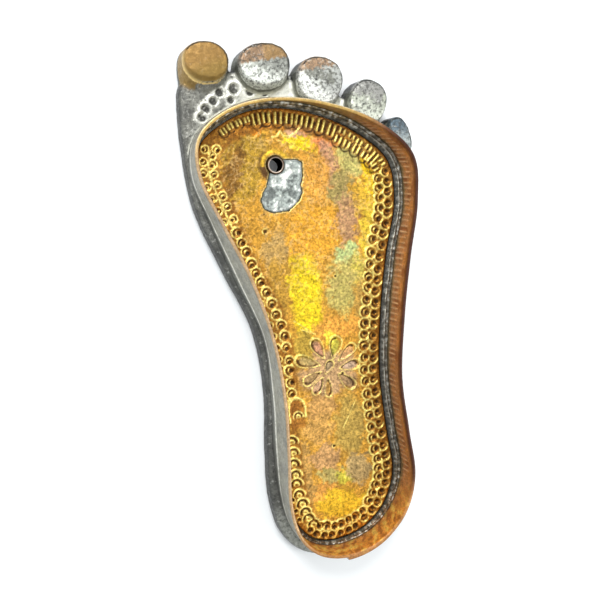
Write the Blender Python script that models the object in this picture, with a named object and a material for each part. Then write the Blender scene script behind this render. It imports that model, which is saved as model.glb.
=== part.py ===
"""A cast metal paduka for the right foot: a foot-shaped base with five toe buttons, a thin rim wall that is
open at the top, a gilt footbed inside it with its run of solder, and the seat and socket of a toe knob.

Metres, +X to the outer side of the foot, +Y to the toes, +Z up. It stands on its flat underside, with the
origin under the middle of its box.
"""

import math
from collections import namedtuple

import bmesh
import bpy
import numpy as np

# Lengths of the foot, which every outline follows
FOOT_LENGTH = 0.2500
BALL_WIDTH = 0.1045

# Cast base
BASE_THICKNESS = 0.0075
BASE_DRAFT = 0.0006
BASE_EDGE = 0.0011
TOE_RISE = 0.0062
TOE_DRAFT = 0.0016
TOE_EDGE = 0.0007
TOE_CROWN = 0.0004
TOE_SQUARENESS = 2.2

# Rim wall, measured from the top of the base
WALL_THICKNESS = 0.0016
WALL_HEIGHT_HEEL = 0.0190
WALL_HEIGHT_TOE = 0.0142
WALL_LIP = 0.0004
LAP_STEP = 0.0013
LAP_LENGTH = 0.0290
LAP_START = -0.0035
LAP_DROP = 0.0060

# Gilt footbed and the solder round it
FOOTBED_THICKNESS = 0.0013
FOOTBED_EDGE = 0.0004
SEAM_WIDTH = 0.0025
SEAM_RISE = 0.0011
SEAM_EDGE = 0.0004
FOOTBED_SHIFT_INWARD = 0.0012
FOOTBED_SHIFT_BACK = 0.0004

# Knob socket and the bare solder beside it
SOCKET_BORE = 0.0064
SOCKET_WALL = 0.0009
SOCKET_STAND = 0.0003
SOCKET_RECESS = 0.0006
SOLDER_BED_SINK = 0.0004
SOLDER_BED_LENGTH = 0.0240
SOLDER_BED_WIDTH = 0.0220

# Clearance between pieces that lie against each other
SEAT_GAP = 0.0003

AROUND = 132
ROUND = 40

# Sections across the foot. along runs from 0 at an outline's heel end to 1 at its toe end, and the sides are
# shares of the ball width from the foot's long axis.
BASE_BACK_SHARE, BASE_FRONT_SHARE = 0.000, 0.949
BASE_SECTION_SHARES = (
    # along, medial, lateral
    (0.000, -0.005, -0.005),
    (0.017, -0.162, 0.158),
    (0.067, -0.264, 0.300),
    (0.146, -0.299, 0.397),
    (0.250, -0.284, 0.399),
    (0.371, -0.250, 0.403),
    (0.500, -0.269, 0.448),
    (0.629, -0.370, 0.523),
    (0.750, -0.452, 0.589),
    (0.854, -0.465, 0.517),
    (0.933, -0.456, 0.297),
    (0.983, -0.429, 0.002),
    (1.000, -0.299, -0.299),
)
WALL_BACK_SHARE, WALL_FRONT_SHARE = 0.017, 0.895
WALL_SECTION_SHARES = (
    # along, foot medial, foot lateral, top medial, top lateral
    (0.000, 0.008, 0.008, 0.012, 0.012),
    (0.017, -0.133, 0.172, -0.136, 0.166),
    (0.067, -0.220, 0.297, -0.230, 0.290),
    (0.146, -0.256, 0.368, -0.256, 0.357),
    (0.250, -0.254, 0.362, -0.234, 0.356),
    (0.371, -0.233, 0.362, -0.215, 0.356),
    (0.500, -0.233, 0.401, -0.227, 0.405),
    (0.629, -0.319, 0.465, -0.281, 0.472),
    (0.750, -0.394, 0.542, -0.369, 0.543),
    (0.854, -0.449, 0.523, -0.438, 0.550),
    (0.933, -0.408, 0.355, -0.419, 0.390),
    (0.983, -0.250, 0.136, -0.284, 0.152),
    (1.000, -0.076, -0.076, -0.084, -0.084),
)
# How far the wall's top edge draws in at the heel and at the toe, as shares of the foot's length
TOP_IN_HEEL_SHARE = 0.006
TOP_IN_TOE_SHARE = 0.010

# Toe buttons: places as shares of the foot's length and ball width, sizes as shares of the ball width. The
# root is how much further a button's slope runs back towards the heel.
Toe = namedtuple("Toe", "name across along half_width half_length root turn_degrees")
TOES = (
    Toe("big", -0.316, 0.961, 0.113, 0.092, 0.090, -9.0),
    Toe("second", -0.062, 0.946, 0.129, 0.106, 0.050, 0.0),
    Toe("third", 0.183, 0.910, 0.121, 0.117, 0.040, -20.0),
    Toe("fourth", 0.400, 0.863, 0.105, 0.113, 0.030, -25.0),
    Toe("little", 0.539, 0.791, 0.067, 0.107, 0.000, 10.0),
)
# How far each button's top leans forward of its root, as a share of its draft
TOE_LEAN_SHARE = 0.75

# The knob's place, and the torn outline of its solder bed from the hole, in shares of the bed's size
KNOB_ACROSS_SHARE, KNOB_ALONG_SHARE = -0.064, 0.770
BED_OUTLINE_SHARES = (
    # across, along
    (0.030, 0.030),
    (-0.100, -0.060),
    (-0.186, -0.233),
    (-0.245, -0.388),
    (-0.332, -0.488),
    (-0.414, -0.642),
    (-0.368, -0.808),
    (-0.186, -0.896),
    (0.159, -0.896),
    (0.405, -0.733),
    (0.505, -0.579),
    (0.482, -0.442),
    (0.550, -0.283),
    (0.582, -0.013),
    (0.495, 0.050),
    (0.155, 0.083),
)


def closed_outline(rows, medial, lateral, back, front, count=AROUND):
    """Points round a foot outline, counter-clockwise from the heel. Rows are joined by a closed
    Catmull-Rom curve over the angle whose cosine gives the place along the foot."""
    angles = [math.acos(1 - 2 * row[0]) for row in rows]
    outward = [row[lateral] * BALL_WIDTH for row in rows]
    inward = [row[medial] * BALL_WIDTH for row in rows]
    knots = angles + [2 * math.pi - a for a in reversed(angles[1:-1])]
    sides = outward + list(reversed(inward[1:-1]))
    total = len(knots)
    points = np.zeros((count, 2))
    for i in range(count):
        angle = 2 * math.pi * i / count
        k = max(j for j in range(total) if knots[j] <= angle + 1e-9)
        end = knots[k + 1] if k + 1 < total else 2 * math.pi
        t = (angle - knots[k]) / (end - knots[k])
        a, b, c, d = (sides[(k + step) % total] for step in (-1, 0, 1, 2))
        x = 0.5 * (2 * b + (c - a) * t + (2 * a - 5 * b + 4 * c - d) * t**2 + (3 * b - a - 3 * c + d) * t**3)
        y = back + (front - back) * (1 - math.cos(angle)) / 2
        points[i] = (x, y * FOOT_LENGTH)
    return points


def normals(points):
    """Unit vectors that point out of a counter-clockwise outline."""
    along = np.roll(points, -1, axis=0) - np.roll(points, 1, axis=0)
    out = np.column_stack((along[:, 1], -along[:, 0]))
    return out / np.linalg.norm(out, axis=1)[:, None]


def offset(points, distance):
    """The outline moved outward by a distance, which may differ from point to point."""
    return points + normals(points) * np.reshape(distance, (-1, 1))


def oval(toe, grow, forward, root=0):
    """A toe button's outline, grown or shrunk, moved towards the toes, with its root drawn out to the heel."""
    a = np.linspace(0, 2 * math.pi, ROUND, endpoint=False)
    power = 2 / TOE_SQUARENESS
    x = np.sign(np.cos(a)) * np.abs(np.cos(a)) ** power * (toe.half_width * BALL_WIDTH + grow)
    y = np.sign(np.sin(a)) * np.abs(np.sin(a)) ** power * (toe.half_length * BALL_WIDTH + grow)
    y = np.where(y < 0, y * (1 + root / toe.half_length), y)
    turn = math.radians(toe.turn_degrees)
    c, s = math.cos(turn), math.sin(turn)
    centre = np.array((toe.across * BALL_WIDTH, toe.along * FOOT_LENGTH + forward))
    return np.column_stack((c * x - s * y, s * x + c * y)) + centre


BASE_OUTLINE = closed_outline(BASE_SECTION_SHARES, 1, 2, BASE_BACK_SHARE, BASE_FRONT_SHARE)
WALL_FOOT = closed_outline(WALL_SECTION_SHARES, 1, 2, WALL_BACK_SHARE, WALL_FRONT_SHARE)
TOP_BACK_SHARE, TOP_FRONT_SHARE = WALL_BACK_SHARE + TOP_IN_HEEL_SHARE, WALL_FRONT_SHARE - TOP_IN_TOE_SHARE
WALL_TOP = closed_outline(WALL_SECTION_SHARES, 3, 4, TOP_BACK_SHARE, TOP_FRONT_SHARE)
GROUND_PLAN = np.vstack([BASE_OUTLINE] + [oval(toe, 0, 0) for toe in TOES])
MIDDLE = (GROUND_PLAN.min(axis=0) + GROUND_PLAN.max(axis=0)) / 2
BASE_TOP = BASE_THICKNESS
FLOOR_OF_WALL = BASE_TOP + SEAT_GAP
FOOTBED_TOP = FLOOR_OF_WALL + FOOTBED_THICKNESS
KNOB_PLACE = np.array((KNOB_ACROSS_SHARE * BALL_WIDTH, KNOB_ALONG_SHARE * FOOT_LENGTH))
SOCKET_RADIUS = SOCKET_BORE / 2 + SOCKET_WALL


def wall_top_height(points):
    """Height of the wall's edge, which falls evenly from the heel to the toe."""
    back, front = WALL_BACK_SHARE * FOOT_LENGTH, WALL_FRONT_SHARE * FOOT_LENGTH
    share = np.clip((points[:, 1] - back) / (front - back), 0, 1)
    return BASE_TOP + WALL_HEIGHT_HEEL + (WALL_HEIGHT_TOE - WALL_HEIGHT_HEEL) * share


def wall_face(inset, height):
    """The wall's outer outline at a height, moved in by an inset."""
    share = (height - FLOOR_OF_WALL) / (wall_top_height(WALL_TOP) - FLOOR_OF_WALL)
    share = np.reshape(share, (-1, 1))
    return offset(WALL_FOOT + (WALL_TOP - WALL_FOOT) * share, -inset)


def material(name, colour, roughness, metallic):
    made = bpy.data.materials.new(name)
    made.use_nodes = True
    shader = made.node_tree.nodes["Principled BSDF"]
    shader.inputs["Base Color"].default_value = (*colour, 1)
    shader.inputs["Roughness"].default_value = roughness
    shader.inputs["Metallic"].default_value = metallic
    return made


def add_object(name, mesh_maker, surface=None):
    """A new object from a bmesh, centred on the middle of the foot's ground plan."""
    mesh_maker.normal_update()
    mesh = bpy.data.meshes.new(name)
    mesh_maker.to_mesh(mesh)
    mesh_maker.free()
    if surface:
        mesh.materials.append(surface)
    mesh.shade_smooth()
    mesh.set_sharp_from_angle(angle=math.radians(35))
    made = bpy.data.objects.new(name, mesh)
    bpy.context.collection.objects.link(made)
    return made


def ring_vertices(maker, outline, height):
    heights = np.broadcast_to(height, (len(outline),))
    return [maker.verts.new((x - MIDDLE[0], y - MIDDLE[1], z)) for (x, y), z in zip(outline, heights)]


def join_rings(maker, lower, upper):
    for i in range(len(lower)):
        j = (i + 1) % len(lower)
        maker.faces.new((lower[i], lower[j], upper[j], upper[i]))


def stacked_solid(name, levels, surface=None, crown=0):
    """A closed solid through outlines at rising heights. A crown lifts the middle of its top."""
    maker = bmesh.new()
    rings = [ring_vertices(maker, outline, height) for outline, height in levels]
    for lower, upper in zip(rings, rings[1:]):
        join_rings(maker, lower, upper)
    maker.faces.new(list(reversed(rings[0])))
    if crown:
        outline, height = levels[-1]
        middle = ring_vertices(maker, outline.mean(axis=0)[None], height + crown)[0]
        top = rings[-1]
        for i in range(len(top)):
            maker.faces.new((top[i], top[(i + 1) % len(top)], middle))
    else:
        maker.faces.new(rings[-1])
    return add_object(name, maker, surface)


def ring_solid(name, levels, surface):
    """A closed band: its section's corners go up the outer side and down the inner one."""
    maker = bmesh.new()
    rings = [ring_vertices(maker, outline, height) for outline, height in levels]
    for lower, upper in zip(rings, rings[1:] + rings[:1]):
        join_rings(maker, lower, upper)
    return add_object(name, maker, surface)


def disc(centre, radius, count=ROUND):
    a = np.linspace(0, 2 * math.pi, count, endpoint=False)
    return centre + radius * np.column_stack((np.cos(a), np.sin(a)))


def guide(name, levels, crown=0):
    """A solid that only cuts or joins another."""
    made = stacked_solid(name, levels, crown=crown)
    made.hide_render = True
    made.display_type = "WIRE"
    return made


def cutter(name, outline, low, high):
    return guide(name, [(outline, low), (outline, high)])


def boolean(target, tool, operation):
    made = target.modifiers.new(tool.name, "BOOLEAN")
    made.operation = operation
    made.object = tool
    made.solver = "EXACT"


def base_levels():
    side = offset(BASE_OUTLINE, -BASE_DRAFT)
    return [
        (offset(BASE_OUTLINE, -BASE_EDGE), 0),
        (BASE_OUTLINE, BASE_EDGE),
        (side, BASE_TOP - BASE_EDGE),
        (offset(side, -BASE_EDGE), BASE_TOP),
    ]


def toe_levels(toe):
    top = BASE_TOP + TOE_RISE
    lean = TOE_LEAN_SHARE * TOE_DRAFT
    return [
        (oval(toe, -BASE_EDGE, 0, toe.root), 0),
        (oval(toe, 0, 0, toe.root), BASE_EDGE),
        (oval(toe, -TOE_DRAFT, lean), top - TOE_EDGE),
        (oval(toe, -TOE_DRAFT - TOE_EDGE, lean), top),
    ]


def make_sole():
    """The cast slab and its toe buttons as one solid, with the way through it for the knob's socket."""
    surface = material("silvered_metal", (0.42, 0.41, 0.39), 0.42, 1.0)
    sole = stacked_solid("sole", base_levels(), surface)
    below, above = -BASE_THICKNESS, 2 * (BASE_TOP + TOE_RISE)
    inside_wall = guide("inside_wall", [(wall_face(-SEAT_GAP, z), z) for z in (below, above)])
    buttons = [guide("toe_" + toe.name, toe_levels(toe), TOE_CROWN) for toe in TOES]
    for button in buttons[1:]:
        boolean(buttons[0], button, "UNION")
    boolean(buttons[0], inside_wall, "DIFFERENCE")
    way = disc(KNOB_PLACE, SOCKET_RADIUS + SEAT_GAP)
    boolean(sole, cutter("socket_way", way, -BASE_THICKNESS, 2 * BASE_THICKNESS), "DIFFERENCE")
    boolean(sole, buttons[0], "UNION")
    return sole


def lap_amount(points):
    """How far the wall's outer face stands out where its end laps over its start."""
    lengths = np.linalg.norm(np.roll(points, -1, axis=0) - points, axis=1)
    place = np.concatenate(([0], np.cumsum(lengths[:-1])))
    place = np.where(place > place[-1] / 2, place - lengths.sum(), place)
    share = (place - LAP_START) / LAP_LENGTH
    return np.where((share >= 0) & (share <= 1), LAP_STEP * (1 - share), 0)


def make_rim_wall():
    """The upper: a strip wall on edge, open at the top, with its lapped end at the back of the heel."""
    surface = material("patinated_brass", (0.50, 0.27, 0.10), 0.38, 1.0)
    edge = wall_top_height(WALL_TOP)
    lap = lap_amount(WALL_FOOT)
    inner = WALL_THICKNESS
    levels = [
        (wall_face(0, FLOOR_OF_WALL), FLOOR_OF_WALL),
        (wall_face(0, edge - LAP_DROP), edge - LAP_DROP),
        (wall_face(-lap, edge - LAP_DROP + LAP_STEP), edge - LAP_DROP + LAP_STEP),
        (wall_face(-lap, edge - WALL_LIP), edge - WALL_LIP),
        (wall_face(WALL_LIP - lap, edge), edge),
        (wall_face(inner - WALL_LIP, edge), edge),
        (wall_face(inner, edge - WALL_LIP), edge - WALL_LIP),
        (wall_face(inner, FLOOR_OF_WALL), FLOOR_OF_WALL),
    ]
    return ring_solid("rim_wall", levels, surface)


def footbed_outline(inset=0):
    """The sheet's outline inside the wall, nearer to the wall on the medial side and at the heel."""
    width = WALL_THICKNESS + 2 * SEAT_GAP + SEAM_WIDTH
    shift = np.array((-FOOTBED_SHIFT_INWARD, -FOOTBED_SHIFT_BACK))
    return offset(WALL_FOOT, -width - inset) + shift


def bed_outline(grow=0):
    """The solder bed's torn outline beside the knob's hole."""
    size = np.array((SOLDER_BED_WIDTH, SOLDER_BED_LENGTH))
    corners = KNOB_PLACE + np.array(BED_OUTLINE_SHARES) * size
    return offset(corners, grow)


def make_footbed():
    surface = material("gilt_brass", (0.75, 0.45, 0.08), 0.32, 1.0)
    levels = [
        (footbed_outline(), FLOOR_OF_WALL),
        (footbed_outline(), FOOTBED_TOP - FOOTBED_EDGE),
        (footbed_outline(FOOTBED_EDGE), FOOTBED_TOP),
    ]
    footbed = stacked_solid("footbed", levels, surface)
    low, high = BASE_TOP - BASE_THICKNESS / 2, FOOTBED_TOP + BASE_THICKNESS / 2
    around_socket = disc(KNOB_PLACE, SOCKET_RADIUS + SEAT_GAP)
    boolean(footbed, cutter("footbed_hole", around_socket, low, high), "DIFFERENCE")
    boolean(footbed, cutter("footbed_tear", bed_outline(SEAT_GAP), low, high), "DIFFERENCE")
    return footbed


def make_solder_seam():
    """The solder between the footbed's edge and the wall, which climbs a little way up the wall."""
    surface = material("seam_solder", (0.13, 0.13, 0.11), 0.5, 0.9)
    against_wall = WALL_THICKNESS + SEAT_GAP
    crest = FOOTBED_TOP + SEAM_RISE
    levels = [
        (wall_face(against_wall, FLOOR_OF_WALL), FLOOR_OF_WALL),
        (wall_face(against_wall, crest), crest),
        (wall_face(against_wall + SEAM_EDGE, crest), crest),
        (footbed_outline(-SEAT_GAP), FOOTBED_TOP),
        (footbed_outline(-SEAT_GAP), FLOOR_OF_WALL),
    ]
    return ring_solid("solder_seam", levels, surface)


def make_knob_solder():
    surface = material("bare_solder", (0.45, 0.46, 0.46), 0.45, 0.9)
    top = FOOTBED_TOP - SOLDER_BED_SINK
    outline = bed_outline()
    bed = stacked_solid("knob_solder", [(outline, FLOOR_OF_WALL), (outline, top)], surface)
    hole = disc(KNOB_PLACE, SOCKET_RADIUS + SEAT_GAP)
    boolean(bed, cutter("bed_hole", hole, BASE_TOP - BASE_THICKNESS / 2, top + BASE_THICKNESS / 2), "DIFFERENCE")
    return bed


def make_knob_socket():
    surface = material("socket_metal", (0.55, 0.52, 0.45), 0.4, 1.0)
    low, high = SOCKET_RECESS, FOOTBED_TOP + SOCKET_STAND
    outer, inner = disc(KNOB_PLACE, SOCKET_RADIUS), disc(KNOB_PLACE, SOCKET_BORE / 2)
    return ring_solid("knob_socket", [(outer, low), (outer, high), (inner, high), (inner, low)], surface)


def main():
    for old in list(bpy.data.objects):
        bpy.data.objects.remove(old)
    make_sole()
    make_rim_wall()
    make_footbed()
    make_solder_seam()
    make_knob_solder()
    make_knob_socket()


main()
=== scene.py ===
"""Looks of a cast metal paduka for the right foot.

A pitted cast base with worn toe buttons, a ribbed rim strip, a punched gilt sheet with its run of solder, and
the bare seat of the toe knob. Metres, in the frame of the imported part: +X to the outer side, +Y to the toes,
standing on z = 0.
"""

import math
from collections import namedtuple

import bmesh
import bpy
import numpy as np
from mathutils import Matrix, Vector, kdtree, noise


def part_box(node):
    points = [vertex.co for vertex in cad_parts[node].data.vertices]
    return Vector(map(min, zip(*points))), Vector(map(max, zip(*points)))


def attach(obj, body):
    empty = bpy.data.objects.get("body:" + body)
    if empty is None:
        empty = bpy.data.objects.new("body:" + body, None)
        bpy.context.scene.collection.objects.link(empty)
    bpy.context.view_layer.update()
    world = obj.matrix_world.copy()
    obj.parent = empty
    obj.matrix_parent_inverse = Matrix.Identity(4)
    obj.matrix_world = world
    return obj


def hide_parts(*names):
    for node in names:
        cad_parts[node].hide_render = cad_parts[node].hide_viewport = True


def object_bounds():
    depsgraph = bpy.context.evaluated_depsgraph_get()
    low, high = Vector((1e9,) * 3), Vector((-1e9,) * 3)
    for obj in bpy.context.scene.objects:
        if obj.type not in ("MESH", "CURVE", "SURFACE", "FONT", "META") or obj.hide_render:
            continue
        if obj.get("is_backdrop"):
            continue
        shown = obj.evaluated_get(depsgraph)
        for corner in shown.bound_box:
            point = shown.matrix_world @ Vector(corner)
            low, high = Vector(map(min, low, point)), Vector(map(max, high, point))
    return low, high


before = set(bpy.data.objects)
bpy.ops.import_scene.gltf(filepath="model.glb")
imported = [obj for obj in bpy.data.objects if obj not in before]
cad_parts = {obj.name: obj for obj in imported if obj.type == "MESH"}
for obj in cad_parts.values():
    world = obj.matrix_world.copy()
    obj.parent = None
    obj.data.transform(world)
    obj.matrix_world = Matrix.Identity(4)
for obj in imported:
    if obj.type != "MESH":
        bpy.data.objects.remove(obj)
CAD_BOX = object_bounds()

MM = 0.001

# Driving sizes of the part, as its source has them, apart from the lip, which is rounder here
FOOT_LENGTH = 0.2500
BALL_WIDTH = 0.1045
BASE_THICKNESS = 0.0075
TOE_RISE = 0.0062
WALL_THICKNESS = 0.0016
WALL_HEIGHT_HEEL = 0.0190
WALL_HEIGHT_TOE = 0.0142
WALL_LIP = 0.0005
LAP_STEP = 0.0013
LAP_LENGTH = 0.0290
LAP_START = -0.0035
LAP_DROP = 0.0060
FOOTBED_THICKNESS = 0.0013
SEAM_WIDTH = 0.0025
SEAM_RISE = 0.0011
FOOTBED_SHIFT_INWARD = 0.0012
FOOTBED_SHIFT_BACK = 0.0004
SOCKET_BORE = 0.0064
SOCKET_WALL = 0.0009
SOCKET_STAND = 0.0003
SOCKET_RECESS = 0.0006
SOLDER_BED_SINK = 0.0004
SOLDER_BED_LENGTH = 0.0240
SOLDER_BED_WIDTH = 0.0220
SEAT_GAP = 0.0003

# Outlines: along runs from 0 at the heel end to 1 at the toe end, and the sides are shares of the ball width
WALL_BACK_SHARE, WALL_FRONT_SHARE = 0.017, 0.895
WALL_SECTION_SHARES = (
    # along, foot medial, foot lateral, top medial, top lateral
    (0.000, 0.008, 0.008, 0.012, 0.012),
    (0.017, -0.133, 0.172, -0.136, 0.166),
    (0.067, -0.220, 0.297, -0.230, 0.290),
    (0.146, -0.256, 0.368, -0.256, 0.357),
    (0.250, -0.254, 0.362, -0.234, 0.356),
    (0.371, -0.233, 0.362, -0.215, 0.356),
    (0.500, -0.233, 0.401, -0.227, 0.405),
    (0.629, -0.319, 0.465, -0.281, 0.472),
    (0.750, -0.394, 0.542, -0.369, 0.543),
    (0.854, -0.449, 0.523, -0.438, 0.550),
    (0.933, -0.408, 0.355, -0.419, 0.390),
    (0.983, -0.250, 0.136, -0.284, 0.152),
    (1.000, -0.076, -0.076, -0.084, -0.084),
)
TOP_IN_HEEL_SHARE = 0.006
TOP_IN_TOE_SHARE = 0.010

KNOB_ACROSS_SHARE, KNOB_ALONG_SHARE = -0.064, 0.770
BED_OUTLINE_SHARES = (
    # across, along
    (0.030, 0.030),
    (-0.100, -0.060),
    (-0.186, -0.233),
    (-0.245, -0.388),
    (-0.332, -0.488),
    (-0.414, -0.642),
    (-0.368, -0.808),
    (-0.186, -0.896),
    (0.159, -0.896),
    (0.405, -0.733),
    (0.505, -0.579),
    (0.482, -0.442),
    (0.550, -0.283),
    (0.582, -0.013),
    (0.495, 0.050),
    (0.155, 0.083),
)

# Toe buttons, in shares of the foot's length and the ball width
Toe = namedtuple("Toe", "name across along half_width half_length turn_degrees")
TOES = (
    Toe("big", -0.316, 0.961, 0.113, 0.092, -9.0),
    Toe("second", -0.062, 0.946, 0.129, 0.106, 0.0),
    Toe("third", 0.183, 0.910, 0.121, 0.117, -20.0),
    Toe("fourth", 0.400, 0.863, 0.105, 0.113, -25.0),
    Toe("little", 0.539, 0.791, 0.067, 0.107, 10.0),
)

BASE_TOP = BASE_THICKNESS
FLOOR_OF_WALL = BASE_TOP + SEAT_GAP
FOOTBED_TOP = FLOOR_OF_WALL + FOOTBED_THICKNESS
SOCKET_RADIUS = SOCKET_BORE / 2 + SOCKET_WALL
KNOB_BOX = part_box("knob_socket")
KNOB_PLACE = (np.array(KNOB_BOX[0][:2]) + np.array(KNOB_BOX[1][:2])) / 2
# The part's origin, as its source's plan has it: from the back of the heel, on the foot's long axis
MIDDLE = np.array((KNOB_ACROSS_SHARE * BALL_WIDTH, KNOB_ALONG_SHARE * FOOT_LENGTH)) - KNOB_PLACE

# Points round an outline, and their shares of the way round from the heel's back by the lateral side
AROUND = 1400
ROUND = np.arange(AROUND) / AROUND
SHEET_GRID, SOLDER_GRID = 0.4 * MM, 0.3 * MM


# Colours and noise

def srgb(red, green, blue):
    """Linear colour of a screen colour given from 0 to 255."""
    shares = np.array((red, green, blue)) / 255
    return np.where(shares <= 0.04045, shares / 12.92, ((shares + 0.055) / 1.055) ** 2.4)


def smooth(start, end, value):
    """Rises from 0 at the start to 1 at the end. The start may be the higher number."""
    share = np.clip((value - start) / (end - start), 0, 1)
    return share * share * (3 - 2 * share)


def band(start, full, fading, end, value):
    return smooth(start, full, value) * smooth(end, fading, value)


def bell(away, width):
    return np.exp(-((away / width) ** 2))


def noise_at(*place, octaves=0):
    """Noise of about -1 to 1 at places given by arrays or numbers, with finer noise added by its octaves."""
    if octaves:
        return np.array([noise.fractal(each, 0.8, 2.0, octaves) for each in np.broadcast(*place)])
    return np.array([noise.noise(each) for each in np.broadcast(*place)])


def rough_field(points, size, seed, octaves=3):
    """Noise at plan points, with features of a size in millimetres."""
    x, y = points.T / (size * MM)
    return noise_at(x, y, seed, octaves=octaves)


def flat(tone, count):
    return np.tile(srgb(*tone), (count, 1))


def paint(colour, *layers):
    """Blends screen colours over the colours of points, one after another, by amounts of 0 to 1."""
    for tone, amount in layers:
        colour += (srgb(*tone) - colour) * np.clip(amount, 0, 1)[:, None]
    return colour


# Outlines

def closed_outline(rows, medial, lateral, back, front):
    """Points round a foot outline, counter-clockwise from the heel, as the part's source draws them."""
    angles = [math.acos(1 - 2 * row[0]) for row in rows]
    outward = [row[lateral] * BALL_WIDTH for row in rows]
    inward = [row[medial] * BALL_WIDTH for row in rows]
    knots = angles + [2 * math.pi - a for a in reversed(angles[1:-1])]
    sides = outward + list(reversed(inward[1:-1]))
    total = len(knots)
    points = np.zeros((AROUND, 2))
    for i in range(AROUND):
        angle = 2 * math.pi * i / AROUND
        k = max(j for j in range(total) if knots[j] <= angle + 1e-9)
        end = knots[k + 1] if k + 1 < total else 2 * math.pi
        t = (angle - knots[k]) / (end - knots[k])
        a, b, c, d = (sides[(k + step) % total] for step in (-1, 0, 1, 2))
        x = 0.5 * (2 * b + (c - a) * t + (2 * a - 5 * b + 4 * c - d) * t**2 + (3 * b - a - 3 * c + d) * t**3)
        y = back + (front - back) * (1 - math.cos(angle)) / 2
        points[i] = (x, y * FOOT_LENGTH)
    return points


def steps(points):
    return np.linalg.norm(np.roll(points, -1, axis=0) - points, axis=1)


def run(points):
    """Distance along a closed outline to each of its points, and back to the first one."""
    return np.concatenate(([0], np.cumsum(steps(points))))


def evened(points, *others):
    """The closed outline, and any that go with it point by point, with even steps along the first one."""
    place = run(points)
    wanted = np.linspace(0, place[-1], len(points), endpoint=False)
    made = []
    for each in (points,) + others:
        closed = np.vstack((each, each[:1]))
        made.append(np.column_stack([np.interp(wanted, place, closed[:, k]) for k in (0, 1)]))
    return made


def normals(points):
    along = np.roll(points, -1, axis=0) - np.roll(points, 1, axis=0)
    out = np.column_stack((along[:, 1], -along[:, 0]))
    return out / np.linalg.norm(out, axis=1)[:, None]


def offset(points, distance):
    return points + normals(points) * np.reshape(distance, (-1, 1))


def signed_distance(points, outline):
    """Distance of each point from a closed outline, positive inside it."""
    starts = outline
    ends = np.roll(outline, -1, axis=0)
    best = np.full(len(points), np.inf)
    crossings = np.zeros(len(points), int)
    x, y = points[:, 0], points[:, 1]
    for (ax, ay), (bx, by) in zip(starts, ends):
        dx, dy = bx - ax, by - ay
        length = dx * dx + dy * dy
        t = np.clip(((x - ax) * dx + (y - ay) * dy) / max(length, 1e-18), 0, 1)
        best = np.minimum(best, (ax + t * dx - x) ** 2 + (ay + t * dy - y) ** 2)
        if ay != by:
            passes = (ay > y) != (by > y)
            crossings += passes & (x < (bx - ax) * (y - ay) / (by - ay) + ax)
    return np.where(crossings % 2 == 1, 1, -1) * np.sqrt(best)


TOP_BACK_SHARE, TOP_FRONT_SHARE = WALL_BACK_SHARE + TOP_IN_HEEL_SHARE, WALL_FRONT_SHARE - TOP_IN_TOE_SHARE
WALL_FOOT, WALL_TOP = evened(
    closed_outline(WALL_SECTION_SHARES, 1, 2, WALL_BACK_SHARE, WALL_FRONT_SHARE) - MIDDLE,
    closed_outline(WALL_SECTION_SHARES, 3, 4, TOP_BACK_SHARE, TOP_FRONT_SHARE) - MIDDLE,
)
WALL_LENGTH = steps(WALL_FOOT).sum()
WALL_BACK_Y, WALL_FRONT_Y = WALL_FOOT[:, 1].min(), WALL_FOOT[:, 1].max()


def outside_wall(points):
    """Distance of plan points from the wall's foot, positive outside it."""
    return -signed_distance(points, WALL_FOOT[::12])


def outside_ferrule(points):
    """Distance of plan points from the seat round the ferrule, positive outside it."""
    return np.linalg.norm(points - KNOB_PLACE, axis=1) - (SOCKET_RADIUS + SEAT_GAP)


def wall_top_height(points):
    share = np.clip((points[:, 1] - WALL_BACK_Y) / (WALL_FRONT_Y - WALL_BACK_Y), 0, 1)
    return BASE_TOP + WALL_HEIGHT_HEEL + (WALL_HEIGHT_TOE - WALL_HEIGHT_HEEL) * share


def wall_face(inset, height):
    """The wall's outer outline at a height, moved in by an inset."""
    share = (height - FLOOR_OF_WALL) / (wall_top_height(WALL_TOP) - FLOOR_OF_WALL)
    return offset(WALL_FOOT + (WALL_TOP - WALL_FOOT) * np.reshape(share, (-1, 1)), -inset)


def footbed_outline(inset=0):
    width = WALL_THICKNESS + 2 * SEAT_GAP + SEAM_WIDTH
    shift = np.array((-FOOTBED_SHIFT_INWARD, -FOOTBED_SHIFT_BACK))
    return offset(WALL_FOOT, -width - inset) + shift


def bed_outline(grow=0):
    corners = KNOB_PLACE + np.array(BED_OUTLINE_SHARES) * (SOLDER_BED_WIDTH, SOLDER_BED_LENGTH)
    return offset(corners, grow)


# Meshes

def add_layers(mesh, tint, **numbers):
    """Stores a tint, and any named numbers, at each vertex of a mesh."""
    layer = mesh.attributes.new("tint", "FLOAT_COLOR", "POINT")
    layer.data.foreach_set("color", np.column_stack((tint, np.ones(len(tint)))).astype(np.float32).ravel())
    for name, values in numbers.items():
        layer = mesh.attributes.new(name, "FLOAT", "POINT")
        layer.data.foreach_set("value", values.astype(np.float32))


def add_mesh(name, vertices, faces, tint=None, **numbers):
    """A smooth mesh object, with its tint and any named numbers."""
    mesh = bpy.data.meshes.new(name)
    mesh.from_pydata(np.asarray(vertices).tolist(), [], np.asarray(faces).tolist())
    if tint is not None:
        add_layers(mesh, tint, **numbers)
    mesh.update()
    mesh.shade_smooth()
    thing = bpy.data.objects.new(name, mesh)
    bpy.context.scene.collection.objects.link(thing)
    return thing


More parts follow.
